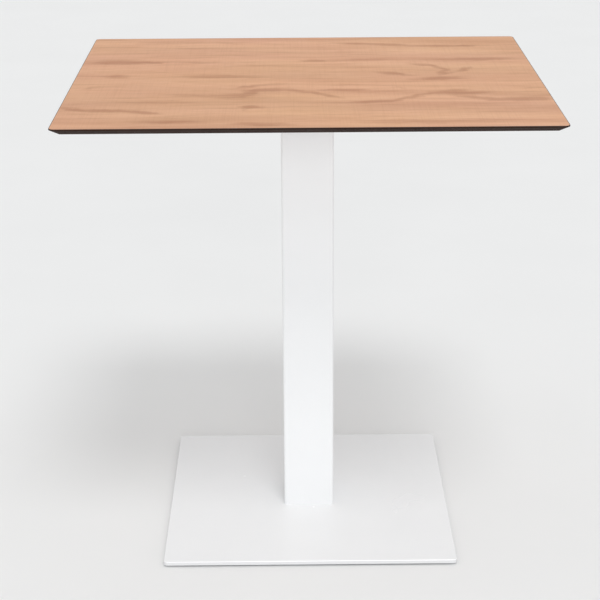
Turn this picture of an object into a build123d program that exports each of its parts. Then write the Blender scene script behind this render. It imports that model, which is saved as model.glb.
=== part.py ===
from build123d import *
import os

# Bistro table: a compact laminate top on a cross-shaped steel spider, a square steel column
# held by a tie rod, and a flat steel base plate that stands on four screw-in levellers.
# Millimetres, +Z up. The origin is on the floor, under the centre of the column.

# Driving dimensions
TABLE_HEIGHT = 710.0  # floor to the wearing surface
TOP_LENGTH = 700.0
TOP_WIDTH = 600.0
TOP_THICKNESS = 10.0
COLUMN_SIZE = 80.0
COLUMN_WALL = 2.0
COLUMN_CORNER = 4.0
BASE_SIZE = 450.0
BASE_THICKNESS = 6.0
BASE_CORNER = 6.0
BASE_EDGE_BREAK = 0.6  # upper edge
FLOOR_GAP = 3.0  # under the base plate with the levellers screwed right in

# Laminate board
TOP_CORNER = 8.0  # plan radius of the corners
TOP_LIP = 2.0  # upright part of the edge, above the bevel
TOP_BEVEL = 13.0  # how far the underside is set in all round
UNDERSIDE_CORNER = 1.5
SHEET_THICKNESS = 0.6  # each decor sheet
ARRIS = 0.25  # sanded upper edge of the decor sheet

# Spider: two channels folded from sheet and halved together
RAIL_LENGTH = 380.0
RAIL_WIDTH = 34.0
RAIL_SHEET = 2.5
RAIL_FOLD = 3.5  # outer radius of each fold
RAIL_DEPTH = 26.0  # over the column
RAIL_TIP_DEPTH = 10.0
RAIL_LEVEL = 90.0  # length of the deep middle part
RAIL_NOSE = 12.0  # plan radius of the tips
HALVING_GAP = 0.2
SLOT_LENGTH = 16.0
SLOT_WIDTH = 7.0
SLOT_RADIUS = 166.0  # from the column's centre line
NUT_ACCESS = 28.0  # hole in the upper rail for a socket spanner

# Plates at the two ends of the column
HUB_THICKNESS = 6.0
LOCATOR_CLEARANCE = 0.4  # each side, inside the tube
HEAD_LOCATOR = 8.0
FOOT_LOCATOR = 12.0

# Tie rod, M12
ROD = 12.0
ROD_HOLE = 13.0
ROD_PROUD = 3.0  # above the upper nut
ROD_RECESS = 1.0  # above the base plate
NUT_FLATS = 19.0
NUT_HEIGHT = 10.8
WASHER = 24.0
WASHER_THICKNESS = 2.5

# Screws of the top, M6, in brass inserts
TOP_SCREW = 6.0
TOP_SCREW_LENGTH = 10.0
TOP_SCREW_FLATS = 10.0
TOP_SCREW_HEAD_HEIGHT = 4.0
TOP_WASHER = 16.0
TOP_WASHER_THICKNESS = 1.6
INSERT = 9.0
INSERT_LENGTH = 7.0
INSERT_RELIEF = 0.5  # left above each insert in its blind hole

# Countersunk screws of the foot locator, M8
FOOT_SCREW = 8.0
FOOT_SCREW_HEAD = 15.5
FOOT_SCREW_LENGTH = 16.0
FOOT_SCREW_SPACING = 46.0

# Levellers, M8 x 1.25
STUD = 8.0
STUD_FIT = 0.05  # radial
STUD_HEAD = 13.0  # over the corners of its hexagon
STUD_HEAD_THICKNESS = 1.2
PAD = 32.0
PAD_HEIGHT = 2.9
PAD_FLOOR = 0.8  # under the stud's head
PAD_SLACK = 0.05  # under the stud's head
PAD_KEY_HOLE = 5.4
LEVELLER_INSET = 35.0
LEVELLER_HOLE = 5.0
LEVELLER_END_GAP = 0.5

# Heights that follow
TOP_UNDERSIDE = TABLE_HEIGHT - TOP_THICKNESS
LIP_UNDERSIDE = TABLE_HEIGHT - TOP_LIP
RAIL_UNDERSIDE = TOP_UNDERSIDE - RAIL_DEPTH
WEB_UNDERSIDE = TOP_UNDERSIDE - RAIL_SHEET
COLUMN_TOP = RAIL_UNDERSIDE - HUB_THICKNESS
BASE_TOP = FLOOR_GAP + BASE_THICKNESS

# Plan positions that follow
SCREW_POSITIONS = [(SLOT_RADIUS, 0), (0, SLOT_RADIUS), (-SLOT_RADIUS, 0), (0, -SLOT_RADIUS)]
FOOT_SCREW_POSITIONS = [(-FOOT_SCREW_SPACING / 2, 0), (FOOT_SCREW_SPACING / 2, 0)]
LEVELLER_REACH = BASE_SIZE / 2 - LEVELLER_INSET
LEVELLERS = {
    "front_left": (-LEVELLER_REACH, -LEVELLER_REACH),
    "front_right": (LEVELLER_REACH, -LEVELLER_REACH),
    "rear_left": (-LEVELLER_REACH, LEVELLER_REACH),
    "rear_right": (LEVELLER_REACH, LEVELLER_REACH),
}


def save(piece, label):
    """Names a finished piece and writes its file."""
    piece.part.label = label
    export_step(piece.part, f"parts/{label}.step")


def looking_up(height):
    """A plane at a height whose normal points down, for features cut from below."""
    return Plane(origin=(0, 0, height), x_dir=(1, 0, 0), z_dir=(0, 0, -1))


# ---------------------------------------------------------------- top


def board_layer(low, high):
    """The layer of the bevelled laminate board that lies between two heights."""
    with BuildPart() as layer:
        with BuildSketch(Plane.XY.offset(LIP_UNDERSIDE)):
            RectangleRounded(TOP_LENGTH, TOP_WIDTH, TOP_CORNER)
        extrude(amount=TOP_LIP)
        with BuildSketch(Plane.XY.offset(TOP_UNDERSIDE)):
            RectangleRounded(TOP_LENGTH - 2 * TOP_BEVEL, TOP_WIDTH - 2 * TOP_BEVEL, UNDERSIDE_CORNER)
        with BuildSketch(Plane.XY.offset(LIP_UNDERSIDE)):
            RectangleRounded(TOP_LENGTH, TOP_WIDTH, TOP_CORNER)
        loft(ruled=True)
        split(bisect_by=Plane.XY.offset(low), keep=Keep.TOP)
        split(bisect_by=Plane.XY.offset(high), keep=Keep.BOTTOM)
        if low < TOP_UNDERSIDE + INSERT_LENGTH:
            with Locations(*[(x, y, TOP_UNDERSIDE) for x, y in SCREW_POSITIONS]):
                Hole(INSERT / 2, depth=INSERT_LENGTH + INSERT_RELIEF)
        if high == TABLE_HEIGHT:
            chamfer(layer.faces().sort_by(Axis.Z)[-1].edges(), ARRIS)
    return layer


def make_top():
    """Decor sheets above and below a black phenolic core, all three bevelled as one."""
    under_decor = TABLE_HEIGHT - SHEET_THICKNESS
    over_backing = TOP_UNDERSIDE + SHEET_THICKNESS
    save(board_layer(under_decor, TABLE_HEIGHT), "top_decor_sheet")
    save(board_layer(over_backing, under_decor), "top_core")
    save(board_layer(TOP_UNDERSIDE, over_backing), "top_backing_sheet")


def make_top_fixings():
    """Inserts in the board, and the screws and washers that hold the spider to them."""
    with BuildPart() as inserts:
        with BuildSketch(Plane.XY.offset(TOP_UNDERSIDE)):
            with Locations(*SCREW_POSITIONS):
                Circle(INSERT / 2)
                Circle(TOP_SCREW / 2, mode=Mode.SUBTRACT)
        extrude(amount=INSERT_LENGTH)
    save(inserts, "top_inserts")

    washer_underside = WEB_UNDERSIDE - TOP_WASHER_THICKNESS
    with BuildPart() as washers:
        with BuildSketch(Plane.XY.offset(washer_underside)):
            with Locations(*SCREW_POSITIONS):
                Circle(TOP_WASHER / 2)
                Circle(TOP_SCREW / 2, mode=Mode.SUBTRACT)
        extrude(amount=TOP_WASHER_THICKNESS)
    save(washers, "top_washers")

    with BuildPart() as screws:
        with BuildSketch(Plane.XY.offset(washer_underside - TOP_SCREW_HEAD_HEIGHT)):
            with Locations(*SCREW_POSITIONS):
                RegularPolygon(TOP_SCREW_FLATS / 2, 6, major_radius=False)
        extrude(amount=TOP_SCREW_HEAD_HEIGHT)
        with BuildSketch(Plane.XY.offset(washer_underside)):
            with Locations(*SCREW_POSITIONS):
                Circle(TOP_SCREW / 2)
        extrude(amount=TOP_SCREW_LENGTH)
    save(screws, "top_screws")


# ---------------------------------------------------------------- spider


def folded_rail(direction):
    """A channel, web up, whose sides taper from the column to the tips. It runs along +X or +Y."""
    across = direction.rotate(Axis.Z, 90)
    half = RAIL_LENGTH / 2
    level = RAIL_LEVEL / 2
    with BuildPart() as rail:
        with BuildSketch(Plane(origin=-direction * half, x_dir=across, z_dir=direction)) as section:
            with Locations((0, TOP_UNDERSIDE - RAIL_DEPTH / 2)):
                Rectangle(RAIL_WIDTH, RAIL_DEPTH)
            fillet(section.vertices().group_by(Axis.Y)[-1], RAIL_FOLD)
            with Locations((0, WEB_UNDERSIDE - RAIL_DEPTH / 2)):
                Rectangle(RAIL_WIDTH - 2 * RAIL_SHEET, RAIL_DEPTH, mode=Mode.SUBTRACT)
        extrude(amount=RAIL_LENGTH)
        with BuildSketch(Plane(origin=(0, 0, 0), x_dir=direction, z_dir=-across)):
            for end in (-1, 1):
                with BuildLine():
                    Polyline(
                        (end * level, RAIL_UNDERSIDE),
                        (end * half, TOP_UNDERSIDE - RAIL_TIP_DEPTH),
                        (end * half, RAIL_UNDERSIDE),
                        close=True,
                    )
                make_face()
        extrude(amount=RAIL_WIDTH, both=True, mode=Mode.SUBTRACT)
        with BuildSketch(Plane(origin=(0, 0, RAIL_UNDERSIDE), x_dir=direction, z_dir=(0, 0, 1))):
            RectangleRounded(RAIL_LENGTH, RAIL_WIDTH, RAIL_NOSE)
        extrude(amount=RAIL_DEPTH, mode=Mode.INTERSECT)
        with BuildSketch(Plane(origin=(0, 0, WEB_UNDERSIDE), x_dir=direction, z_dir=(0, 0, 1))):
            with Locations((-SLOT_RADIUS, 0), (SLOT_RADIUS, 0)):
                SlotOverall(SLOT_LENGTH, SLOT_WIDTH)
        extrude(amount=RAIL_SHEET, mode=Mode.SUBTRACT)
    return rail


def make_spider():
    """Two folded rails halved into each other, on the hub plate that caps the column."""
    halving = RAIL_UNDERSIDE + RAIL_DEPTH / 2
    side = (RAIL_WIDTH - RAIL_SHEET) / 2  # middle of each side wall
    notch = RAIL_SHEET + 2 * HALVING_GAP

    along_x = folded_rail(Vector(1, 0, 0))
    with BuildPart() as upper:
        add(along_x.part)
        with BuildSketch(Plane.XY.offset(RAIL_UNDERSIDE)):
            with Locations((-side, 0), (side, 0)):
                Rectangle(notch, RAIL_WIDTH + notch)
        extrude(amount=halving - RAIL_UNDERSIDE, mode=Mode.SUBTRACT)
        with BuildSketch(Plane.XY.offset(WEB_UNDERSIDE)):
            Circle(NUT_ACCESS / 2)
        extrude(amount=RAIL_SHEET, mode=Mode.SUBTRACT)
    save(upper, "spider_upper_rail")

    along_y = folded_rail(Vector(0, 1, 0))
    with BuildPart() as lower:
        add(along_y.part)
        with BuildSketch(Plane.XY.offset(halving)):
            Rectangle(RAIL_WIDTH + notch, RAIL_WIDTH + 2 * HALVING_GAP)
        extrude(amount=TOP_UNDERSIDE - halving, mode=Mode.SUBTRACT)
    save(lower, "spider_lower_rail")

    with BuildPart() as hub_plate:
        with BuildSketch(Plane.XY.offset(COLUMN_TOP)):
            RectangleRounded(COLUMN_SIZE, COLUMN_SIZE, COLUMN_CORNER)
            Circle(ROD_HOLE / 2, mode=Mode.SUBTRACT)
        extrude(amount=HUB_THICKNESS)
    save(hub_plate, "spider_hub_plate")


# ---------------------------------------------------------------- column


def make_column():
    """The square tube, and the plates inside its ends that keep it from turning."""
    bore = COLUMN_SIZE - 2 * COLUMN_WALL
    inner_corner = COLUMN_CORNER - COLUMN_WALL
    with BuildPart() as tube:
        with BuildSketch(Plane.XY.offset(BASE_TOP)):
            RectangleRounded(COLUMN_SIZE, COLUMN_SIZE, COLUMN_CORNER)
            RectangleRounded(bore, bore, inner_corner, mode=Mode.SUBTRACT)
        extrude(amount=COLUMN_TOP - BASE_TOP)
    save(tube, "column_tube")

    locator = bore - 2 * LOCATOR_CLEARANCE
    with BuildPart() as head_locator:
        with BuildSketch(Plane.XY.offset(COLUMN_TOP - HEAD_LOCATOR)):
            RectangleRounded(locator, locator, inner_corner)
        extrude(amount=HEAD_LOCATOR)
        with Locations((0, 0, COLUMN_TOP)):
            Hole(ROD_HOLE / 2, depth=HEAD_LOCATOR)
    save(head_locator, "head_locator")

    with BuildPart() as foot_locator:
        with BuildSketch(Plane.XY.offset(BASE_TOP)):
            RectangleRounded(locator, locator, inner_corner)
        extrude(amount=FOOT_LOCATOR)
        with Locations((0, 0, BASE_TOP)):
            Hole(ROD / 2, depth=FOOT_LOCATOR)
            with Locations(*FOOT_SCREW_POSITIONS):
                Hole(FOOT_SCREW / 2, depth=FOOT_LOCATOR)
    save(foot_locator, "foot_locator")


def hexagon_nut(low):
    """An M12 nut, standing on a height."""
    with BuildPart() as nut:
        with BuildSketch(Plane.XY.offset(low)):
            RegularPolygon(NUT_FLATS / 2, 6, major_radius=False)
            Circle(ROD / 2, mode=Mode.SUBTRACT)
        extrude(amount=NUT_HEIGHT)
    return nut


def make_tie_rod():
    """The rod that pulls the spider down on the column, with its nuts and washer."""
    nut_low = RAIL_UNDERSIDE + WASHER_THICKNESS
    rod_low = BASE_TOP + ROD_RECESS
    rod_top = nut_low + NUT_HEIGHT + ROD_PROUD
    with BuildPart() as rod:
        with BuildSketch(Plane.XY.offset(rod_low)):
            Circle(ROD / 2)
        extrude(amount=rod_top - rod_low)
    save(rod, "tie_rod")

    with BuildPart() as washer:
        with BuildSketch(Plane.XY.offset(RAIL_UNDERSIDE)):
            Circle(WASHER / 2)
            Circle(ROD / 2, mode=Mode.SUBTRACT)
        extrude(amount=WASHER_THICKNESS)
    save(washer, "tie_rod_washer")

    save(hexagon_nut(nut_low), "tie_rod_nut")
    save(hexagon_nut(BASE_TOP + FOOT_LOCATOR), "tie_rod_jam_nut")


# ---------------------------------------------------------------- base


def make_base():
    """The flat plate with blind tapped holes for the levellers, and its countersunk screws."""
    with BuildPart() as plate:
        with BuildSketch(Plane.XY.offset(FLOOR_GAP)):
            RectangleRounded(BASE_SIZE, BASE_SIZE, BASE_CORNER)
        extrude(amount=BASE_THICKNESS)
        chamfer(plate.faces().sort_by(Axis.Z)[-1].edges(), BASE_EDGE_BREAK)
        with Locations(*[(x, y, FLOOR_GAP) for x, y in LEVELLERS.values()]):
            Hole(STUD / 2 + STUD_FIT, depth=LEVELLER_HOLE)
        with Locations(looking_up(FLOOR_GAP)):
            with Locations(*FOOT_SCREW_POSITIONS):
                CounterSinkHole(FOOT_SCREW / 2, FOOT_SCREW_HEAD / 2, counter_sink_angle=90)
    save(plate, "base_plate")

    head_depth = (FOOT_SCREW_HEAD - FOOT_SCREW) / 2
    with BuildPart() as screws:
        with Locations(*[(x, y, FLOOR_GAP) for x, y in FOOT_SCREW_POSITIONS]):
            Cone(
                FOOT_SCREW_HEAD / 2,
                FOOT_SCREW / 2,
                head_depth,
                align=(Align.CENTER, Align.CENTER, Align.MIN),
            )
            Cylinder(
                FOOT_SCREW / 2,
                FOOT_SCREW_LENGTH,
                align=(Align.CENTER, Align.CENTER, Align.MIN),
            )
    save(screws, "foot_locator_screws")


# ---------------------------------------------------------------- levellers


def make_leveller(corner, x, y):
    """A nylon pad that stays still on the floor, and the screw-in stud whose head turns in it."""
    head_low = PAD_FLOOR + PAD_SLACK
    head_top = head_low + STUD_HEAD_THICKNESS
    stud_top = FLOOR_GAP + LEVELLER_HOLE - LEVELLER_END_GAP
    with BuildPart() as pad:
        with BuildSketch(Plane.XY):
            with Locations((x, y)):
                Circle(PAD / 2)
                Circle(PAD_KEY_HOLE / 2, mode=Mode.SUBTRACT)
        extrude(amount=PAD_HEIGHT)
        with BuildSketch(Plane.XY.offset(PAD_FLOOR)):
            with Locations((x, y)):
                Circle(STUD_HEAD / 2 + STUD_FIT)
        extrude(amount=PAD_HEIGHT - PAD_FLOOR, mode=Mode.SUBTRACT)
    save(pad, f"leveller_pad_{corner}")

    with BuildPart() as stud:
        with BuildSketch(Plane.XY.offset(head_low)):
            with Locations((x, y)):
                RegularPolygon(STUD_HEAD / 2, 6)
        extrude(amount=STUD_HEAD_THICKNESS)
        with BuildSketch(Plane.XY.offset(head_top)):
            with Locations((x, y)):
                Circle(STUD / 2)
        extrude(amount=stud_top - head_top)
    save(stud, f"leveller_stud_{corner}")


def main():
    os.makedirs("parts", exist_ok=True)
    make_top()
    make_top_fixings()
    make_spider()
    make_column()
    make_tie_rod()
    make_base()
    for corner, (x, y) in LEVELLERS.items():
        make_leveller(corner, x, y)


main()
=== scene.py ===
import math

import bpy
from bpy.props import FloatProperty, FloatVectorProperty, IntProperty, PointerProperty
from mathutils import Matrix, Vector


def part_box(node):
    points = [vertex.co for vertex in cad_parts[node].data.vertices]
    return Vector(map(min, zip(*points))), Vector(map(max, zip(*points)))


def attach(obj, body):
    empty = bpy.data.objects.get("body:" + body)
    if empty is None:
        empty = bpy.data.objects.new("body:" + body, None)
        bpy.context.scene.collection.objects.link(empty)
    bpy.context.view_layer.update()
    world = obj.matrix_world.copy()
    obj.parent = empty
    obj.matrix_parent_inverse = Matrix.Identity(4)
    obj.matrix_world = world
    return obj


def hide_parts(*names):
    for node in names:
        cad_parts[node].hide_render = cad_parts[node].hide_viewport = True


bl_info = {
    "name": "Bistro Table",
    "version": (1, 0, 0),
    "blender": (4, 5, 0),
    "location": "View3D > Sidebar > Bistro Table",
    "description": "Finishes and fastenings of a pedestal bistro table with a compact laminate top",
    "category": "Object",
}

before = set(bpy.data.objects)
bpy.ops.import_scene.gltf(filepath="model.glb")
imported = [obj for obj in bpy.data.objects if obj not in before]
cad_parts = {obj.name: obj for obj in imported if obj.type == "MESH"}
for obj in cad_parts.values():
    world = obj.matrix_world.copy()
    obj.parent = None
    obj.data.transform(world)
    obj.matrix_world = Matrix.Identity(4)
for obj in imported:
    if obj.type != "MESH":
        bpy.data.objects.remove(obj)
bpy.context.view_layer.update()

MM = 0.001
CORNERS = ("front_left", "front_right", "rear_left", "rear_right")

# Fastenings, in millimetres
TOP_SCREW_RADIUS = 3.0
TOP_SCREW_FLATS = 10.0
TOP_WASHER_RADIUS = 8.0
INSERT_RADIUS = 4.5
ROD_RADIUS = 6.0  # nominal, which the nuts and the washer are bored for
ROD_NUT_FLATS = 19.0
STUD_RADIUS = 4.0
FOOT_SCREW_HEAD = 7.75  # radius of the countersunk head
KNURL_STEPS = 48
PAD_STEPS = 96
THREAD_STEPS = 24
THREAD_DEPTH = 0.6134  # as a share of the pitch

WELD_DISTANCE = 1e-3  # millimetres; vertices closer than this are one
SMOOTH_ANGLE = math.radians(32)

# Finishes, with lengths in metres
EDGE_BREAK = 0.6 * MM  # chamfer round the top of the base plate
BACKING_SATURATION = 0.45  # the print under the board is greyer
STROKE_SPREAD = 1.9  # how much wider than its dark middle a stroke fades out
PAINTED_EDGE_SHADE = 0.80  # painted shade: how bright the plate's edge faces and underside are beside its top

FACE_CORNER = 8 * MM  # corner radius of the board's face
UNDERSIDE_CORNER = 1.5 * MM  # corner radius inside the bevel
RIM_WIDTH = 1.3 * MM  # dark line where the milled edge meets the print

# Soft strokes of darker figure in the oak, in millimetres on the board seen from above:
# start x, start y, end x, end y, half width, darkness
FIGURE = (
    (50, 252, 124, 243, 8, 0.8), (105, 243, 180, 230, 9, 0.75), (170, 226, 270, 222, 8, 0.75),
    (258, 224, 276, 227, 7, 0.7), (-360, 112, -230, 110, 10, 0.9), (-330, 128, -250, 124, 15, 0.45),
    (-245, 111, -229, 110, 7, 0.7), (-225, 112, -115, 108, 7, 0.55), (0, 118, 22, 117, 8, 0.7),
    (10, 120, 160, 124, 9, 0.65), (140, 118, 350, 124, 11, 0.7), (240, 118, 340, 126, 8, 0.35),
    (-300, 15, -276, 14, 11, 0.7), (-215, 11, -60, 10, 11, 0.7), (-120, 4, 60, 8, 12, 0.35),
    (160, 92, 200, 76, 8, 0.6), (196, 78, 214, 50, 7, 0.65), (212, 56, 202, 4, 7, 0.65),
    (250, 64, 240, 40, 7, 0.7), (240, 42, 206, 18, 7, 0.5), (150, -20, 250, -6, 9, 0.9),
    (112, 34, 140, 22, 9, 0.75), (134, 24, 158, 8, 7, 0.5), (50, 40, 116, 40, 6, 0.25),
    (-110, -68, -60, -44, 7, 0.7), (-60, -46, -36, -42, 7, 0.5), (-96, -80, -20, -80, 9, 0.8),
    (-24, -82, 12, -102, 7, 0.65), (8, -100, 48, -132, 7, 0.65), (10, -82, 100, -84, 8, 0.8),
    (-80, -84, -90, -114, 8, 0.7), (-70, -112, -134, -120, 15, 0.7), (-128, -112, -200, -118, 9, 0.5),
    (60, -160, 132, -148, 8, 0.9), (124, -150, 180, -104, 7, 0.75), (172, -104, 236, -86, 9, 0.8),
    (182, -116, 280, -98, 9, 0.7), (262, -148, 350, -142, 12, 0.95), (210, -122, 268, -146, 9, 0.7),
    (312, -78, 345, -74, 7, 0.45), (-350, -180, -318, -196, 7, 0.8), (-326, -195, -244, -202, 8, 0.9),
    (-254, -202, -206, -218, 8, 0.9), (-92, -181, -68, -183, 8, 0.9), (-84, -186, -92, -206, 6, 0.4),
    (-250, -262, -130, -264, 10, 0.75), (-110, -279, -20, -280, 9, 0.8), (20, -268, 300, -272, 11, 0.7),
    (-330, -68, -312, -56, 7, 0.4), (-314, -56, -275, -52, 6, 0.3), (-350, -150, -100, -152, 9, 0.55),
    (-310, 270, -130, 262, 12, 0.5), (-140, 262, -100, 250, 9, 0.35), (130, -62, 142, -75, 6, 0.35),
)


# ------------------------------------------------------------------ settings


def colour(name, description, value):
    """A setting for a colour."""
    return FloatVectorProperty(
        name=name, description=description, subtype="COLOR", size=3, min=0.0, max=1.0, default=value
    )


def length(name, description, value):
    """A setting for a length in metres."""
    return FloatProperty(
        name=name, description=description, subtype="DISTANCE", unit="LENGTH", min=0.0, default=value
    )


def angle(name, description, degrees):
    """A setting for an angle, given here in degrees."""
    return FloatProperty(
        name=name, description=description, subtype="ANGLE", unit="ROTATION", default=math.radians(degrees)
    )


class BoardSettings(bpy.types.PropertyGroup):
    oak: colour("Oak", "Usual colour of the printed oak", (0.700, 0.368, 0.203))
    pale_oak: colour("Pale oak", "Lighter bands of the oak", (0.810, 0.448, 0.252))
    warm_oak: colour("Warm oak", "Redder bands of the oak", (0.615, 0.300, 0.155))
    dark_oak: colour("Dark oak", "Knots and smoky streaks", (0.330, 0.100, 0.022))
    core: colour("Core", "Black phenolic core at the milled edge", (0.018, 0.008, 0.005))
    layer: length("Paper layer", "Thickness of one paper layer of the core", 0.25 * MM)
    gloss: FloatProperty(
        name="Roughness", description="Roughness of the decor sheets",
        subtype="FACTOR", min=0.0, max=1.0, default=0.48,
    )


class MetalSettings(bpy.types.PropertyGroup):
    coat: colour("Powder coat", "White powder coat of the frame", (0.838, 0.850, 0.862))
    plate_coat: colour("Plate coat", "Brighter coat of the base plate", (0.905, 0.917, 0.929))
    coat_roughness: FloatProperty(
        name="Coat roughness", description="Roughness of the coat on the column and spider",
        subtype="FACTOR", min=0.0, max=1.0, default=0.42,
    )
    plate_roughness: FloatProperty(
        name="Plate roughness", description="Roughness of the smoother coat on the base plate",
        subtype="FACTOR", min=0.0, max=1.0, default=0.24,
    )
    zinc: colour("Zinc", "Bright zinc plating", (0.640, 0.655, 0.680))
    steel: colour("Bare steel", "Uncoated plates inside the column", (0.300, 0.300, 0.305))
    brass: colour("Brass", "Turned inserts", (0.700, 0.520, 0.240))
    nylon: colour("Nylon", "Moulded pads", (0.018, 0.018, 0.019))


class FasteningSettings(bpy.types.PropertyGroup):
    rod_pitch: length("Rod pitch", "Thread pitch of the tie rod", 1.75 * MM)
    stud_pitch: length("Stud pitch", "Thread pitch of the levellers and the foot screws", 1.25 * MM)
    screw_pitch: length("Screw pitch", "Thread pitch of the screws under the top", 1.0 * MM)
    turn_steps: IntProperty(
        name="Steps in a turn", description="Faces round each turned piece", min=12, max=96, default=48
    )


class StageSettings(bpy.types.PropertyGroup):
    camera_place: FloatVectorProperty(
        name="Camera", description="Where the camera stands", subtype="TRANSLATION", size=3,
        default=(-0.0266, -2.4085, 1.2577),
    )
    camera_turn: FloatVectorProperty(
        name="Camera turn", description="Yaw, downward pitch and roll of the camera",
        subtype="EULER", size=3,
        default=(math.radians(-0.34), math.radians(20.62), math.radians(-0.335)),
    )
    lens: FloatProperty(
        name="Lens", description="Focal length on a 36 mm frame, in millimetres", default=97.3
    )
    floor: colour("Floor", "Plain pale floor", (0.870, 0.878, 0.880))
    key_strength: FloatProperty(
        name="Key light", description="Strength of the lamp overhead", min=0.0, default=0.80
    )
    key_softness: angle("Key softness", "How wide the lamp overhead looks from the table", 20.0)
    front_strength: FloatProperty(
        name="Front light", description="Strength of the lamp in front", min=0.0, default=0.80
    )
    front_softness: angle("Front softness", "How wide the lamp in front looks from the table", 30.0)
    sky: FloatProperty(
        name="Surround", description="Strength of the even light all round", min=0.0, default=0.71
    )


# ------------------------------------------------------------------ materials


def add(tree, kind, inputs=None, **settings):
    """Adds a node. An input given another node's output is linked to it, and any other is set."""
    made = tree.nodes.new(kind)
    for name, value in settings.items():
        setattr(made, name, value)
    for key, value in (inputs or {}).items():
        if isinstance(value, bpy.types.NodeSocket):
            tree.links.new(value, made.inputs[key])
        else:
            made.inputs[key].default_value = value
    return made


def maths(tree, operation, first, second=0.0, clamp=False):
    """One sum on two values, each a number or another node's output."""
    return add(tree, "ShaderNodeMath", {0: first, 1: second}, operation=operation, use_clamp=clamp).outputs[0]


def remap(tree, value, low, high, to_low=0.0, to_high=1.0):
    """Takes low..high smoothly to to_low..to_high."""
    inputs = {"Value": value, "From Min": low, "From Max": high, "To Min": to_low, "To Max": to_high}
    return add(tree, "ShaderNodeMapRange", inputs, interpolation_type="SMOOTHSTEP").outputs["Result"]


def blend(tree, factor, first, second, how="MIX"):
    """Mixes two colours, or lays the second on the first in another way."""
    inputs = {}
    # Sockets 6 and 7 are the Mix node's two colours
    for socket, value in ((0, factor), (6, first), (7, second)):
        plain = not isinstance(value, (bpy.types.NodeSocket, float, int))
        inputs[socket] = (*value, 1.0) if plain else value
    return add(tree, "ShaderNodeMix", inputs, data_type="RGBA", blend_type=how).outputs[2]


def stretched_noise(tree, place, scale, detail=2.0, roughness=0.5):
    """Noise with its own scale along each axis, as waves to the metre."""
    mapped = add(tree, "ShaderNodeMapping", {"Vector": place, "Scale": scale}).outputs[0]
    inputs = {"Vector": mapped, "Scale": 1.0, "Detail": detail, "Roughness": roughness}
    return add(tree, "ShaderNodeTexNoise", inputs).outputs["Fac"]


def new_material(name, **values):
    """An empty material with a Principled shader. Gives the tree, the shader and Object coordinates."""
    material = bpy.data.materials.new(name)
    material.use_nodes = True
    tree = material.node_tree
    tree.nodes.clear()
    shader = add(tree, "ShaderNodeBsdfPrincipled", values)
    add(tree, "ShaderNodeOutputMaterial", {"Surface": shader.outputs["BSDF"]})
    place = add(tree, "ShaderNodeTexCoord").outputs["Object"]
    return material, tree, shader, place


def bump(tree, shader, height, strength, distance):
    """Gives the shader a relief, its depth in metres."""
    inputs = {"Height": height, "Strength": strength, "Distance": distance}
    tree.links.new(add(tree, "ShaderNodeBump", inputs).outputs["Normal"], shader.inputs["Normal"])


def stroke_shade(tree, place, stroke):
    """Darkness of one soft stroke of figure, 0 away from it."""
    start = Vector(stroke[0:2]) * MM
    end = Vector(stroke[2:4]) * MM
    half_width = STROKE_SPREAD * stroke[4] * MM
    run = end - start
    centre = (start + end) / 2
    inputs = {
        "Vector": place,
        "Location": (centre.x, centre.y, 0),
        "Rotation": (0, 0, math.atan2(run.y, run.x)),
        "Scale": (run.length / 2 + 1.2 * half_width, half_width, 1),
    }
    local = add(tree, "ShaderNodeMapping", inputs, vector_type="TEXTURE").outputs[0]
    away = add(tree, "ShaderNodeVectorMath", {0: local, 1: local}, operation="DOT_PRODUCT").outputs["Value"]
    near = maths(tree, "SUBTRACT", 1.0, away, clamp=True)
    return maths(tree, "MULTIPLY", maths(tree, "MULTIPLY", near, near), stroke[5])


def rim_shade(tree, place, node, radius):
    """1 at the outline of a sheet with rounded corners, and 0 from RIM_WIDTH inside it."""
    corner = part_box(node)[1] - Vector((radius, radius, 0))
    across = add(tree, "ShaderNodeVectorMath", {0: place}, operation="ABSOLUTE").outputs[0]
    sides = {0: across, 1: (corner.x, corner.y, 1)}
    beyond = add(tree, "ShaderNodeVectorMath", sides, operation="SUBTRACT").outputs[0]
    beyond = add(tree, "ShaderNodeVectorMath", {0: beyond, 1: (0, 0, 0)}, operation="MAXIMUM").outputs[0]
    reach = add(tree, "ShaderNodeVectorMath", {0: beyond}, operation="LENGTH").outputs["Value"]
    return remap(tree, reach, radius - RIM_WIDTH, radius - RIM_WIDTH / 3)


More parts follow.
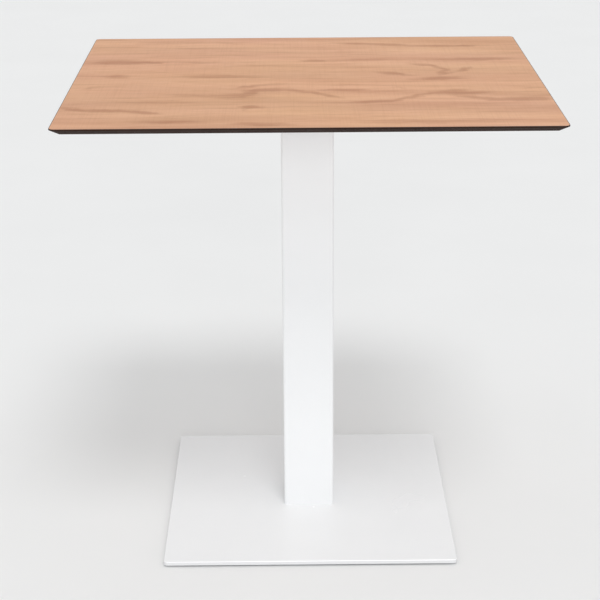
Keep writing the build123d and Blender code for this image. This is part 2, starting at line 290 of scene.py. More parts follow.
def oak_decor(name, node, radius, figure, shift, saturation):
    """Printed oak: bands and fibres along X, faint saw marks across, and soft darker figure.

    The print gives way to dark paper along the sheet's own outline.
    """
    board = bpy.context.scene.table_board
    material, tree, shader, place = new_material(name)
    flat = add(tree, "ShaderNodeVectorMath", {0: place, 1: (1, 1, 0)}, operation="MULTIPLY").outputs[0]
    flat = add(tree, "ShaderNodeMapping", {"Vector": flat, "Location": shift}).outputs[0]

    # The grain wanders, and each stroke of figure has a ragged edge
    wander = stretched_noise(tree, flat, (2.2, 5, 1), 2.0)
    ragged = add(tree, "ShaderNodeTexNoise", {"Vector": flat, "Scale": 55.0, "Detail": 3.0}).outputs["Color"]
    middle = (0.5, 0.5, 0.5)
    centred = add(tree, "ShaderNodeVectorMath", {0: ragged, 1: middle}, operation="SUBTRACT").outputs[0]
    tear = (0.030, 0.011, 0)
    push = add(tree, "ShaderNodeVectorMath", {0: centred, 1: tear}, operation="MULTIPLY").outputs[0]
    torn = add(tree, "ShaderNodeVectorMath", {0: flat, 1: push}, operation="ADD").outputs[0]
    lift = maths(tree, "MULTIPLY", maths(tree, "SUBTRACT", wander, 0.5), 0.03)
    offset = add(tree, "ShaderNodeCombineXYZ", {"Y": lift}).outputs[0]
    grain = add(tree, "ShaderNodeVectorMath", {0: flat, 1: offset}, operation="ADD").outputs[0]

    shade = 0.0
    for stroke in figure:
        shade = maths(tree, "ADD", shade, stroke_shade(tree, torn, stroke))

    broad = remap(tree, stretched_noise(tree, grain, (1.6, 15, 1), 2.0), 0.30, 0.70)
    warm = remap(tree, stretched_noise(tree, grain, (2.4, 22, 1), 2.0), 0.42, 0.72)
    streaks = stretched_noise(tree, grain, (7, 85, 1), 4.0, 0.6)
    fray = stretched_noise(tree, grain, (13, 190, 1), 3.0, 0.6)
    fibres = stretched_noise(tree, grain, (30, 700, 1), 3.0, 0.6)
    saw = stretched_noise(tree, flat, (420, 7, 1), 3.0, 0.6)
    pores = remap(tree, stretched_noise(tree, grain, (90, 1500, 1), 2.0), 0.66, 0.76)

    tone = blend(tree, broad, board.oak, board.pale_oak)
    tone = blend(tree, maths(tree, "MULTIPLY", warm, 0.7), tone, board.warm_oak)
    tone = blend(tree, remap(tree, streaks, 0.48, 0.80, 0.0, 0.42), tone, board.dark_oak)

    # Some patches of the board are a little pinker or greyer than others
    wide = add(tree, "ShaderNodeMapping", {"Vector": grain, "Scale": (3.0, 8.0, 1.0)}).outputs[0]
    patches = add(tree, "ShaderNodeTexNoise", {"Vector": wide, "Scale": 1.0, "Detail": 2.0}).outputs["Color"]
    tone = blend(tree, 0.13, tone, patches, "SOFT_LIGHT")

    # The figure frays along the grain
    loose = maths(tree, "MULTIPLY", maths(tree, "SUBTRACT", fray, 0.5), 1.8)
    knots = maths(tree, "MULTIPLY", shade, maths(tree, "ADD", loose, 1.0))
    tone = blend(tree, remap(tree, knots, 0.0, 0.9, 0.0, 0.48), tone, board.dark_oak)
    tone = blend(tree, remap(tree, fibres, 0.30, 0.75, 0.0, 0.13), tone, board.dark_oak)
    tone = blend(tree, remap(tree, saw, 0.42, 0.75, 0.0, 0.10), tone, board.dark_oak)
    tone = blend(tree, maths(tree, "MULTIPLY", pores, 0.18), tone, board.dark_oak)
    tone = blend(tree, rim_shade(tree, place, node, radius), tone, [2.2 * c for c in board.core])
    muted = {"Color": tone, "Saturation": saturation}
    tree.links.new(add(tree, "ShaderNodeHueSaturation", muted).outputs["Color"], shader.inputs["Base Color"])

    rough = remap(tree, fibres, 0.2, 0.8, board.gloss - 0.05, board.gloss + 0.08)
    tree.links.new(rough, shader.inputs["Roughness"])
    relief = maths(tree, "SUBTRACT", maths(tree, "MULTIPLY", fibres, 0.4), pores)
    bump(tree, shader, relief, 0.25, 0.00006)
    return material


def face_decor():
    """The print on the board's face."""
    return oak_decor("Oak decor", "top_decor_sheet", FACE_CORNER, FIGURE, (0, 0, 0), 1.0)


def underside_decor():
    """The same print, greyer, with some of its figure moved along."""
    figure = FIGURE[6:20]
    return oak_decor(
        "Oak backing", "top_backing_sheet", UNDERSIDE_CORNER, figure, (0.06, -0.035, 0), BACKING_SATURATION
    )


def phenolic_core():
    """Black-brown core whose milled bevel shows the edges of its paper layers."""
    board = bpy.context.scene.table_board
    material, tree, shader, place = new_material("Phenolic core", **{"Specular IOR Level": 0.06})
    layers = stretched_noise(tree, place, (6, 6, 0.5 / board.layer), 2.0)
    cloud = stretched_noise(tree, place, (25, 25, 25), 3.0)
    milled = stretched_noise(tree, place, (900, 900, 40), 2.0)
    tone = blend(tree, remap(tree, layers, 0.3, 0.7, 0.0, 1.0), board.core, [1.8 * c for c in board.core])
    tone = blend(tree, remap(tree, cloud, 0.35, 0.7, 0.0, 0.35), tone, (0.042, 0.023, 0.016))
    tree.links.new(tone, shader.inputs["Base Color"])
    tree.links.new(remap(tree, milled, 0.3, 0.7, 0.48, 0.62), shader.inputs["Roughness"])
    bump(tree, shader, maths(tree, "ADD", layers, milled), 0.2, 0.00003)
    return material


def powder_coat(name, coat, roughness, relief, painted_shade_below=None):
    """White powder coat: fine orange peel and faint changes of tone.

    Below the given height it is a little greyer: painted shade that dims the plate's edge faces.
    """
    material, tree, shader, place = new_material(name)
    peel = add(tree, "ShaderNodeTexNoise", {"Vector": place, "Scale": 700.0, "Detail": 2.0}).outputs["Fac"]
    waves = add(tree, "ShaderNodeTexNoise", {"Vector": place, "Scale": 160.0, "Detail": 1.0}).outputs["Fac"]
    cloud = add(tree, "ShaderNodeTexNoise", {"Vector": place, "Scale": 9.0, "Detail": 3.0}).outputs["Fac"]
    tone = blend(tree, remap(tree, cloud, 0.0, 1.0), coat, [0.965 * c for c in coat])
    tone = blend(tree, remap(tree, peel, 0.35, 0.7, 0.0, 0.25), tone, [0.94 * c for c in coat])
    # Painted shade: below the given height the coat is greyer, which dims the lit edge faces of the plate
    if painted_shade_below is not None:
        height = add(tree, "ShaderNodeSeparateXYZ", {0: place}).outputs["Z"]
        painted_shade = remap(tree, height, painted_shade_below, painted_shade_below - EDGE_BREAK)
        tone = blend(tree, painted_shade, tone, [PAINTED_EDGE_SHADE * c for c in coat])
    tree.links.new(tone, shader.inputs["Base Color"])
    rough = remap(tree, cloud, 0.0, 1.0, roughness - 0.05, roughness + 0.06)
    tree.links.new(rough, shader.inputs["Roughness"])
    bump(tree, shader, maths(tree, "ADD", peel, waves), relief, 0.00006)
    return material


def satin_coat():
    """The coat of the column and the spider."""
    metal = bpy.context.scene.table_metal
    return powder_coat("Satin white coat", metal.coat, metal.coat_roughness, 0.22)


def smooth_coat():
    """The smoother coat of the base plate, with painted shade on the plate's edges and underside."""
    metal = bpy.context.scene.table_metal
    plate_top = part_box("base_plate")[1].z
    return powder_coat(
        "Smooth white coat", metal.plate_coat, metal.plate_roughness, 0.06, plate_top - EDGE_BREAK
    )


def zinc_plate():
    """Bright zinc plating: bluish silver with faint warm clouds and fine drawing lines."""
    zinc = bpy.context.scene.table_metal.zinc
    material, tree, shader, place = new_material("Zinc plate", Metallic=1.0)
    cloud = add(tree, "ShaderNodeTexNoise", {"Vector": place, "Scale": 140.0, "Detail": 3.0}).outputs["Fac"]
    grains = add(tree, "ShaderNodeTexNoise", {"Vector": place, "Scale": 2500.0, "Detail": 2.0}).outputs["Fac"]
    tone = blend(tree, remap(tree, cloud, 0.35, 0.7), zinc, (0.66, 0.62, 0.52))
    tone = blend(tree, remap(tree, grains, 0.4, 0.8, 0.0, 0.3), tone, (0.42, 0.43, 0.45))
    tree.links.new(tone, shader.inputs["Base Color"])
    tree.links.new(remap(tree, cloud, 0.3, 0.7, 0.24, 0.38), shader.inputs["Roughness"])
    bump(tree, shader, grains, 0.15, 0.00002)
    return material


def bare_steel():
    """Uncoated steel plate: grey mill finish, oily darker patches and saw-cut edges."""
    steel = bpy.context.scene.table_metal.steel
    material, tree, shader, place = new_material("Bare steel", Metallic=1.0)
    patches = add(tree, "ShaderNodeTexNoise", {"Vector": place, "Scale": 60.0, "Detail": 4.0}).outputs["Fac"]
    cuts = stretched_noise(tree, place, (900, 900, 60), 2.0)
    tone = blend(tree, remap(tree, patches, 0.35, 0.7), steel, (0.16, 0.155, 0.15))
    tone = blend(tree, remap(tree, cuts, 0.4, 0.8, 0.0, 0.4), tone, (0.45, 0.44, 0.43))
    tree.links.new(tone, shader.inputs["Base Color"])
    tree.links.new(remap(tree, patches, 0.3, 0.7, 0.34, 0.55), shader.inputs["Roughness"])
    bump(tree, shader, cuts, 0.3, 0.00004)
    return material


def turned_brass():
    """Brass with fine turning rings and duller patches."""
    brass = bpy.context.scene.table_metal.brass
    material, tree, shader, place = new_material("Turned brass", Metallic=1.0)
    rings = stretched_noise(tree, place, (40, 40, 5000), 1.0)
    dull = add(tree, "ShaderNodeTexNoise", {"Vector": place, "Scale": 300.0, "Detail": 3.0}).outputs["Fac"]
    tone = blend(tree, remap(tree, dull, 0.35, 0.7), brass, (0.50, 0.34, 0.15))
    tree.links.new(tone, shader.inputs["Base Color"])
    tree.links.new(remap(tree, rings, 0.3, 0.7, 0.25, 0.42), shader.inputs["Roughness"])
    bump(tree, shader, rings, 0.25, 0.00002)
    return material


def moulded_nylon():
    """Black nylon with a fine spark-eroded texture, scuffed a little paler."""
    nylon = bpy.context.scene.table_metal.nylon
    material, tree, shader, place = new_material("Moulded nylon")
    grain = add(tree, "ShaderNodeTexNoise", {"Vector": place, "Scale": 1800.0, "Detail": 2.0}).outputs["Fac"]
    scuffs = add(tree, "ShaderNodeTexNoise", {"Vector": place, "Scale": 180.0, "Detail": 4.0}).outputs["Fac"]
    tone = blend(tree, remap(tree, scuffs, 0.5, 0.75, 0.0, 0.5), nylon, (0.09, 0.09, 0.088))
    tree.links.new(tone, shader.inputs["Base Color"])
    tree.links.new(remap(tree, grain, 0.3, 0.7, 0.50, 0.68), shader.inputs["Roughness"])
    bump(tree, shader, grain, 0.3, 0.00004)
    return material


MATERIALS = {
    "Oak decor": face_decor,
    "Oak backing": underside_decor,
    "Phenolic core": phenolic_core,
    "Satin white coat": satin_coat,
    "Smooth white coat": smooth_coat,
    "Zinc plate": zinc_plate,
    "Bare steel": bare_steel,
    "Turned brass": turned_brass,
    "Moulded nylon": moulded_nylon,
}


def finish(name):
    """The named finish, made the first time that it is asked for."""
    return bpy.data.materials.get(name) or MATERIALS[name]()


def paint_node(node, material):
    """Gives a piece of the frame its finish."""
    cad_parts[node].material_slots[0].material = finish(material)


# ------------------------------------------------------------------ modelling
# Pieces are drawn in millimetres, and ready() brings each one down to metres


def start():
    """Nothing selected, in object mode."""
    if bpy.context.mode != "OBJECT":
        bpy.ops.object.mode_set(mode="OBJECT")
    bpy.ops.object.select_all(action="DESELECT")


def only(*pieces):
    """Selects these pieces and makes the first one active."""
    start()
    for piece in pieces:
        piece.select_set(True)
    bpy.context.view_layer.objects.active = pieces[0]


def tidy():
    """Merges what lies in one place and turns every face outwards, in edit mode."""
    bpy.ops.mesh.select_all(action="SELECT")
    bpy.ops.mesh.remove_doubles(threshold=WELD_DISTANCE)
    bpy.ops.mesh.normals_make_consistent(inside=False)


def draw_line(points):
    """Extrudes one vertex from point to point, and leaves the line selected in edit mode."""
    start()
    bpy.ops.mesh.primitive_plane_add(size=1.0)
    bpy.ops.object.mode_set(mode="EDIT")
    bpy.ops.mesh.select_all(action="SELECT")
    bpy.ops.mesh.merge(type="CENTER")
    bpy.ops.transform.translate(value=points[0])
    for here, there in zip(points, points[1:]):
        step = Vector(there) - Vector(here)
        bpy.ops.mesh.extrude_region_move(TRANSFORM_OT_translate={"value": step})
    bpy.ops.mesh.select_all(action="SELECT")
    return bpy.context.active_object


def turned(profile, steps=None):
    """A piece turned about the Z axis from (radius, height) pairs."""
    piece = draw_line([(radius, 0, height) for radius, height in profile])
    steps = steps or bpy.context.scene.table_fastenings.turn_steps
    bpy.ops.mesh.spin(steps=steps, angle=2 * math.pi, center=(0, 0, 0), axis=(0, 0, 1))
    tidy()
    start()
    return piece


def prism(sides, across_flats, low, high):
    """An upright prism on the Z axis. A hexagon has a corner towards +X."""
    start()
    radius = across_flats / 2 / math.cos(math.pi / sides)
    bpy.ops.mesh.primitive_cylinder_add(
        vertices=sides, radius=radius, depth=high - low,
        location=(0, 0, (low + high) / 2), rotation=(0, 0, math.pi / sides),
    )
    settle(bpy.context.active_object)
    return bpy.context.active_object


def settle(piece):
    """Puts a piece's place into its mesh."""
    only(piece)
    bpy.ops.object.transform_apply(location=True, rotation=True, scale=True)


def combine(piece, tool, operation):
    """Joins, cuts or intersects a piece with a tool, which is used up."""
    cut = piece.modifiers.new("Cut", "BOOLEAN")
    cut.object = tool
    cut.operation = operation
    cut.solver = "EXACT"
    only(piece)
    bpy.ops.object.modifier_apply(modifier="Cut")
    bpy.data.objects.remove(tool)
    return piece


def thread(radius, pitch, low, high, lead_low=0.0, lead_high=0.0):
    """A right-hand thread on the Z axis between two heights, its ends chamfered by the leads."""
    root = radius - THREAD_DEPTH * pitch
    first = low - 1.37 * pitch  # so that no end plane runs through a vertex
    groove = ((root, 0.0), (root, 0.125), (radius, 0.4375), (radius, 0.5625), (root, 0.875), (root, 1.0))
    piece = draw_line([(r, 0, first + share * pitch) for r, share in groove])
    bpy.ops.object.mode_set(mode="OBJECT")
    screw = piece.modifiers.new("Thread", "SCREW")
    screw.screw_offset = pitch
    screw.iterations = math.ceil((high - low) / pitch) + 3
    screw.steps = THREAD_STEPS
    screw.render_steps = THREAD_STEPS
    screw.use_merge_vertices = True
    screw.merge_threshold = WELD_DISTANCE
    only(piece)
    bpy.ops.object.modifier_apply(modifier="Thread")
    bpy.ops.object.mode_set(mode="EDIT")
    bpy.ops.mesh.select_all(action="SELECT")
    bpy.ops.mesh.remove_doubles(threshold=WELD_DISTANCE)
    for height, up in ((low - 0.31 * pitch, -1), (high + 0.31 * pitch, 1)):
        bpy.ops.mesh.select_all(action="SELECT")
        bpy.ops.mesh.bisect(
            plane_co=(0, 0, height), plane_no=(0, 0, up), use_fill=True, clear_outer=True
        )
    tidy()
    start()
    envelope = turned(
        (
            (0, low), (radius + 0.02 - lead_low, low), (radius + 0.02, low + lead_low + 0.01),
            (radius + 0.02, high - lead_high - 0.01), (radius + 0.02 - lead_high, high), (0, high),
        )
    )
    return combine(piece, envelope, "INTERSECT")


def repeated(piece, places):
    """Copies of a piece at each place, all one piece. The first one is moved there itself."""
    copies = []
    for _ in places[1:]:
        only(piece)
        bpy.ops.object.duplicate(linked=False)
        copies.append(bpy.context.active_object)
    for one, place in zip([piece, *copies], places):
        one.location = place
        settle(one)
    if copies:
        only(piece, *copies)
        bpy.ops.object.join()
    return piece


def draw_in(piece, steps, rows, period, beyond, share):
    """Draws chosen rows of a turned piece's outer wall towards its axis, as knurls or grip notches."""
    only(piece)
    bpy.ops.object.mode_set(mode="EDIT")
    bpy.ops.mesh.select_mode(type="VERT")
    bpy.ops.mesh.select_all(action="DESELECT")
    bpy.ops.object.mode_set(mode="OBJECT")
    for vertex in piece.data.vertices:
        row = round(math.atan2(vertex.co.y, vertex.co.x) / (2 * math.pi) * steps)
        vertex.select = row % period in rows and vertex.co.xy.length > beyond
    bpy.ops.object.mode_set(mode="EDIT")
    bpy.ops.transform.resize(value=(share, share, 1), center_override=(0, 0, 0))
    start()


def flat_washer(bore, outer, low, high, edge):
    """A washer with both outer edges rounded off."""
    return turned(
        (
            (bore, low), (outer - edge, low), (outer, low + edge),
            (outer, high - edge), (outer - edge, high), (bore, high), (bore, low),
        )
    )


def ready(piece, name, material, body="table", stands_for=()):
    """Brings a finished piece to metres, names, shades and finishes it, and lets it ride on its body."""
    settle(piece)
    piece.scale = (MM, MM, MM)
    settle(piece)
    piece.name = name
    piece.data.name = name
    piece.data.materials.clear()
    piece.data.materials.append(finish(material))
    bpy.ops.object.shade_smooth_by_angle(angle=SMOOTH_ANGLE)
    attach(piece, body)
    if stands_for:
        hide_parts(*stands_for)
    return piece


def box_mm(node):
    """Lowest and highest corners of a piece of the frame, in millimetres."""
    low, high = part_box(node)
    return low / MM, high / MM


# ------------------------------------------------------------------ operators


class TABLE_OT_finish_board(bpy.types.Operator):
    """Gives the laminate board its printed oak sheets and its black core"""

    bl_idname = "table.finish_board"
    bl_label = "Finish the board"

    def execute(self, context):
        paint_node("top_decor_sheet", "Oak decor")
        paint_node("top_backing_sheet", "Oak backing")
        paint_node("top_core", "Phenolic core")
        return {"FINISHED"}


class TABLE_OT_make_top_fixings(bpy.types.Operator):
    """Models the screws, washers and knurled inserts that hold the spider to the board"""

    bl_idname = "table.make_top_fixings"
    bl_label = "Make the top fixings"

    def execute(self, context):
        pitch = context.scene.table_fastenings.screw_pitch / MM
        low, high = box_mm("top_screws")
        washer_low, washer_high = box_mm("top_washers")
        insert_low, insert_high = box_mm("top_inserts")
        arm = washer_high.x - TOP_WASHER_RADIUS  # each arm has one screw, this far from the column's axis
        places = [(arm, 0, 0), (0, arm, 0), (-arm, 0, 0), (0, -arm, 0)]

        screws = repeated(self.screw(low.z, washer_low.z, high.z, pitch), places)
        ready(screws, "machined_top_screws", "Zinc plate", stands_for=["top_screws"])
        bore = TOP_SCREW_RADIUS + 0.05
        washer = flat_washer(bore, TOP_WASHER_RADIUS, washer_low.z, washer_high.z, 0.2)
        washers = repeated(washer, places)
        ready(washers, "pressed_top_washers", "Zinc plate", stands_for=["top_washers"])
        inserts = repeated(self.insert(insert_low.z, insert_high.z), places)
        ready(inserts, "knurled_inserts", "Turned brass", stands_for=["top_inserts"])
        return {"FINISHED"}

    def screw(self, low, shoulder, high, pitch):
        """A hexagon screw, head down, with the corners of its head turned off."""
        face = 4.7
        corner = 5.9
        screw = prism(6, TOP_SCREW_FLATS, low, shoulder)
        crown = turned(((0, low), (face, low), (corner, low + 0.7), (corner, shoulder), (0, shoulder)))
        combine(screw, crown, "INTERSECT")
        shank = thread(TOP_SCREW_RADIUS, pitch, shoulder - 0.3, high, 0.0, 0.8)
        return combine(screw, shank, "UNION")

    def insert(self, low, high):
        """A knurled sleeve with a groove round its middle and a lead at its top."""
        middle = (low + high) / 2
        outer = INSERT_RADIUS
        groove = outer - 0.4
        insert = turned(
            (
                (TOP_SCREW_RADIUS, low), (outer, low), (outer, middle - 0.6), (groove, middle - 0.5),
                (groove, middle + 0.5), (outer, middle + 0.6), (outer, high - 0.4),
                (outer - 0.3, high), (TOP_SCREW_RADIUS, high), (TOP_SCREW_RADIUS, low),
            )
        )
        draw_in(insert, KNURL_STEPS, (1,), 2, outer - 0.2, 0.955)
        return insert


class TABLE_OT_finish_spider(bpy.types.Operator):
    """Coats the spider white and lays its weld beads"""

    bl_idname = "table.finish_spider"
    bl_label = "Finish the spider"

    def execute(self, context):
        for node in ("spider_upper_rail", "spider_lower_rail", "spider_hub_plate"):
            paint_node(node, "Satin white coat")
        self.lay_welds()
        return {"FINISHED"}

    def bead(self, run):
        """One rippled bead on the Z axis."""
        crest = 1.9
        trough = 1.65
        ripple = 1.6
        half_waves = 2 * max(4, round(run / ripple)) + 1
        profile = [(0, 0)]
        for i in range(half_waves):
            profile.append((crest if i % 2 else trough, run * (i + 0.5) / (half_waves + 1)))
        profile.append((0, run))
        return turned(profile, 16)

    def lay_welds(self):
        """Beads where the rails stand on the hub plate, and up the corners where they cross."""
        hub_high = box_mm("spider_hub_plate")[1]
        rail_high = box_mm("spider_lower_rail")[1]
        side = rail_high.x
        margin = 2.0  # left bare at each end of a bead on the plate
        beads = []
        for turn in range(4):
            for edge in (-1, 1):
                bead = self.bead(hub_high.x - side - 2 * margin)
                bead.rotation_euler = (0, math.pi / 2, 0)
                bead.location = (side + margin, edge * side, hub_high.z)
                settle(bead)
                bead.rotation_euler = (0, 0, turn * math.pi / 2)
                settle(bead)
                beads.append(bead)
            upright = self.bead(rail_high.z - hub_high.z - 5.0)
            upright.location = (side, side, hub_high.z + 1.5)
            settle(upright)
            upright.rotation_euler = (0, 0, turn * math.pi / 2)
            settle(upright)
            beads.append(upright)
        only(*beads)
        bpy.ops.object.join()
        ready(bpy.context.active_object, "spider_welds", "Satin white coat")


class TABLE_OT_finish_column(bpy.types.Operator):
    """Coats the column white and leaves the plates inside its ends bare"""

    bl_idname = "table.finish_column"
    bl_label = "Finish the column"

    def execute(self, context):
        paint_node("column_tube", "Satin white coat")
        paint_node("head_locator", "Bare steel")
        paint_node("foot_locator", "Bare steel")
        return {"FINISHED"}


class TABLE_OT_make_tie_rod(bpy.types.Operator):
    """Models the threaded tie rod, its washer and its two chamfered nuts"""

    bl_idname = "table.make_tie_rod"
    bl_label = "Make the tie rod"

    def execute(self, context):
        pitch = context.scene.table_fastenings.rod_pitch / MM
        low, high = box_mm("tie_rod")
        radius = high.x
        rod = self.rod(radius, low.z, high.z, pitch)
        ready(rod, "threaded_tie_rod", "Zinc plate", stands_for=["tie_rod"])

        for node, name in (("tie_rod_nut", "chamfered_upper_nut"), ("tie_rod_jam_nut", "chamfered_jam_nut")):
            nut_low, nut_high = box_mm(node)
            nut = self.nut(nut_low.z, nut_high.z, pitch)
            ready(nut, name, "Zinc plate", stands_for=[node])
        washer_low, washer_high = box_mm("tie_rod_washer")
        washer = flat_washer(ROD_RADIUS, washer_high.x, washer_low.z, washer_high.z, 0.3)
        ready(washer, "pressed_rod_washer", "Zinc plate", stands_for=["tie_rod_washer"])
        return {"FINISHED"}

    def rod(self, radius, low, high, pitch):
        """A rod threaded at both ends, drawn thinner between them."""
        shank = radius - 0.55
        foot = low + 42.0  # where the lower thread ends
        head = high - 48.0  # where the upper thread starts
        rod = turned(
            (
                (0, foot - 4.0), (shank - 0.6, foot - 4.0), (shank, foot - 2.5),
                (shank, head + 2.5), (shank - 0.6, head + 4.0), (0, head + 4.0),
            )
        )
        combine(rod, thread(radius, pitch, low, foot, 1.2, 0.6), "UNION")
        return combine(rod, thread(radius, pitch, head, high, 0.6, 1.2), "UNION")

    def nut(self, low, high, pitch):
        """A hexagon nut with rounded-off corners, countersunk at both ends of its thread."""
        corner = ROD_NUT_FLATS / math.sqrt(3) + 0.2
        face = ROD_NUT_FLATS / 2 - 0.15
        nut = prism(6, ROD_NUT_FLATS, low, high)
        crown = turned(
            ((0, low), (face, low), (corner, low + 1.0), (corner, high - 1.0), (face, high), (0, high))
        )
        combine(nut, crown, "INTERSECT")
        combine(nut, thread(ROD_RADIUS, pitch, low - 1.0, high + 1.0), "DIFFERENCE")
        for end, inward in ((low, 1), (high, -1)):
            outside = end - inward
            inside = end + 1.5 * inward
            wide = ROD_RADIUS + 1.5
            narrow = ROD_RADIUS - 1.0
            sink = turned(((0, outside), (wide, outside), (narrow, inside), (0, inside)))
            combine(nut, sink, "DIFFERENCE")
        return nut


class TABLE_OT_finish_base(bpy.types.Operator):
    """Coats the base plate and models the countersunk screws that hold the foot of the column"""

    bl_idname = "table.finish_base"
    bl_label = "Finish the base"

    def execute(self, context):
        paint_node("base_plate", "Smooth white coat")
        pitch = context.scene.table_fastenings.stud_pitch / MM
        low, high = box_mm("foot_locator_screws")
        plate_top = box_mm("base_plate")[1].z
        reach = high.x - FOOT_SCREW_HEAD
        neck = STUD_RADIUS - 0.1
        neck_low = low.z + FOOT_SCREW_HEAD - STUD_RADIUS + 0.08
        neck_high = plate_top + 0.37
        places = [(-reach, 0, 0), (reach, 0, 0)]
        screw = turned(
            (
                (0, low.z), (FOOT_SCREW_HEAD - 0.25, low.z), (FOOT_SCREW_HEAD - 0.02, low.z + 0.2),
                (neck, neck_low), (neck, neck_high), (0, neck_high),
            )
        )
        combine(screw, thread(STUD_RADIUS, pitch, plate_top, high.z, 0.0, 1.0), "UNION")
        combine(screw, prism(6, 5.0, low.z - 1.0, low.z + 3.0), "DIFFERENCE")
        ready(
            repeated(screw, places), "countersunk_foot_screws", "Zinc plate",
            stands_for=["foot_locator_screws"],
        )
        return {"FINISHED"}


class TABLE_OT_make_levellers(bpy.types.Operator):
    """Models the four nylon pads and the threaded studs that turn in them"""

    bl_idname = "table.make_levellers"
    bl_label = "Make the levellers"

    def execute(self, context):
        pitch = context.scene.table_fastenings.stud_pitch / MM
        kinds = (
            (self.pad(), "pad", "moulded_pad", "Moulded nylon", "pad_nylon"),
            (self.stud(pitch), "stud", "threaded_stud", "Zinc plate", "zinc_steel"),
        )
        for corner in CORNERS:
            low, high = box_mm(f"leveller_pad_{corner}")
            place = ((low.x + high.x) / 2, (low.y + high.y) / 2, 0)
            for model, kind, name, material, slot in kinds:
                node = f"leveller_{kind}_{corner}"
                only(model)
                bpy.ops.object.duplicate(linked=False)
                copy = bpy.context.active_object
                copy.location = place
                ready(copy, f"{name}_{corner}", material, body=node, stands_for=[node])
        for model, *_ in kinds:
            bpy.data.objects.remove(model)
        return {"FINISHED"}

    def pad(self):
        """A pad with grip notches round it and three ringed grooves in its tread."""
        low, high = box_mm("leveller_pad_front_left")
        radius = (high.x - low.x) / 2
        top = high.z
        key_hole = 2.7
        pocket = 6.55
        pocket_floor = 0.8
        groove_depth = 0.3
        profile = [(key_hole, 0.0)]
        for inner, outer in ((5.0, 6.6), (8.6, 10.2), (12.2, 13.6)):
            profile += [
                (inner, 0.0), (inner + groove_depth, groove_depth),
                (outer - groove_depth, groove_depth), (outer, 0.0),
            ]
        profile += [
            (radius - 0.5, 0.0), (radius, 0.5), (radius, top - 0.5), (radius - 0.15, top - 0.15),
            (radius - 0.5, top), (pocket + 0.2, top), (pocket, top - 0.2), (pocket, pocket_floor),
            (key_hole, pocket_floor), (key_hole, 0.0),
        ]
        pad = turned(profile, PAD_STEPS)
        draw_in(pad, PAD_STEPS, (0, 1, 7), 8, radius - 0.2, 0.972)
        return pad

    def stud(self, pitch):
        """A stud whose slim hexagon head sits in the pad, with a hexagon socket from below."""
        low, high = box_mm("leveller_stud_front_left")
        corner = (high.x - low.x) / 2
        flats = corner * math.sqrt(3)
        head_top = low.z + 1.2
        stud = prism(6, flats, low.z, head_top)
        crown = turned(
            (
                (0, low.z), (flats / 2, low.z), (corner + 0.1, low.z + 0.3), (corner + 0.1, head_top - 0.3),
                (flats / 2, head_top), (0, head_top),
            )
        )
        combine(stud, crown, "INTERSECT")
        combine(stud, thread(STUD_RADIUS, pitch, head_top - 0.2, high.z, 0.0, 0.8), "UNION")
        return combine(stud, prism(6, 4.0, low.z - 1.0, low.z + 2.6), "DIFFERENCE")


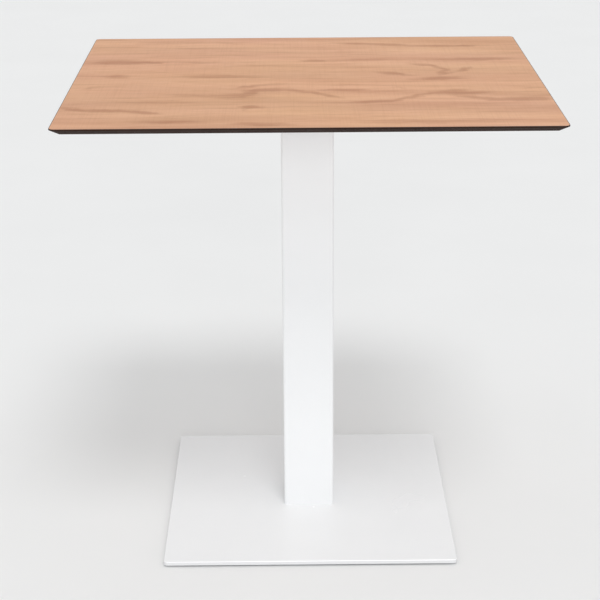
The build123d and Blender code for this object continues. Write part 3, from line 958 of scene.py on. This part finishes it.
class TABLE_OT_set_stage(bpy.types.Operator):
    """Lays the plain floor, hangs the two lamps and sets the camera"""

    bl_idname = "table.set_stage"
    bl_label = "Set the stage"

    def execute(self, context):
        stage = context.scene.table_stage
        start()
        bpy.ops.mesh.primitive_grid_add(x_subdivisions=8, y_subdivisions=8, size=60.0)
        floor = context.active_object
        floor.name = "floor"
        material, tree, shader, place = new_material("Plain floor", Roughness=0.6)
        cloud = add(tree, "ShaderNodeTexNoise", {"Vector": place, "Scale": 2.5, "Detail": 4.0}).outputs["Fac"]
        tone = blend(tree, remap(tree, cloud, 0.3, 0.7), stage.floor, [0.985 * c for c in stage.floor])
        tree.links.new(tone, shader.inputs["Base Color"])
        floor.data.materials.append(material)

        above = Vector((0.10, -0.38, 0.70))
        ahead = Vector((0.05, -1.00, 0.22))
        self.hang_lamp("key_lamp", above, stage.key_softness, stage.key_strength)
        self.hang_lamp("front_lamp", ahead, stage.front_softness, stage.front_strength)

        world = bpy.data.worlds.new("Pale surround")
        world.use_nodes = True
        background = world.node_tree.nodes["Background"]
        background.inputs["Color"].default_value = (1.0, 1.0, 1.0, 1.0)
        background.inputs["Strength"].default_value = stage.sky
        context.scene.world = world
        context.scene.view_settings.view_transform = "Standard"

        camera_data = bpy.data.cameras.new("camera")
        camera_data.lens = stage.lens
        camera_data.sensor_width = 36.0
        camera = bpy.data.objects.new("camera", camera_data)
        yaw, pitch, roll = stage.camera_turn
        turn = (
            Matrix.Rotation(yaw, 4, "Z")
            @ Matrix.Rotation(math.pi / 2 - pitch, 4, "X")
            @ Matrix.Rotation(roll, 4, "Z")
        )
        camera.matrix_world = Matrix.Translation(stage.camera_place) @ turn
        context.scene.collection.objects.link(camera)
        context.scene.camera = camera
        return {"FINISHED"}

    def hang_lamp(self, name, towards, softness, strength):
        """A distant soft lamp that shines from a direction."""
        data = bpy.data.lights.new(name, "SUN")
        data.angle = softness
        data.energy = strength
        lamp = bpy.data.objects.new(name, data)
        lamp.location = 3.0 * towards.normalized()
        lamp.rotation_euler = towards.to_track_quat("Z", "Y").to_euler()
        bpy.context.scene.collection.objects.link(lamp)


# ------------------------------------------------------------------ sidebar


class TABLE_PT_sidebar(bpy.types.Panel):
    """Lists the settings and the pieces of the table"""

    bl_idname = "TABLE_PT_sidebar"
    bl_label = "Bistro Table"
    bl_space_type = "VIEW_3D"
    bl_region_type = "UI"
    bl_category = "Bistro Table"

    def draw(self, context):
        for group in SETTINGS:
            settings = getattr(context.scene, group)
            box = self.layout.box()
            for name in settings.__annotations__:
                box.prop(settings, name)
        for operator in OPERATORS:
            self.layout.operator(operator.bl_idname)


SETTINGS = {
    "table_board": BoardSettings,
    "table_metal": MetalSettings,
    "table_fastenings": FasteningSettings,
    "table_stage": StageSettings,
}
OPERATORS = (
    TABLE_OT_set_stage,
    TABLE_OT_finish_board,
    TABLE_OT_make_top_fixings,
    TABLE_OT_finish_spider,
    TABLE_OT_finish_column,
    TABLE_OT_make_tie_rod,
    TABLE_OT_finish_base,
    TABLE_OT_make_levellers,
)


def register():
    for name, group in SETTINGS.items():
        bpy.utils.register_class(group)
        setattr(bpy.types.Scene, name, PointerProperty(type=group))
    for cls in (*OPERATORS, TABLE_PT_sidebar):
        bpy.utils.register_class(cls)


def unregister():
    for cls in (TABLE_PT_sidebar, *reversed(OPERATORS)):
        bpy.utils.unregister_class(cls)
    for name, group in reversed(SETTINGS.items()):
        delattr(bpy.types.Scene, name)
        bpy.utils.unregister_class(group)


def main():
    register()
    bpy.ops.table.set_stage()
    bpy.ops.table.finish_board()
    bpy.ops.table.make_top_fixings()
    bpy.ops.table.finish_spider()
    bpy.ops.table.finish_column()
    bpy.ops.table.make_tie_rod()
    bpy.ops.table.finish_base()
    bpy.ops.table.make_levellers()


if __name__ == "__main__":
    main()
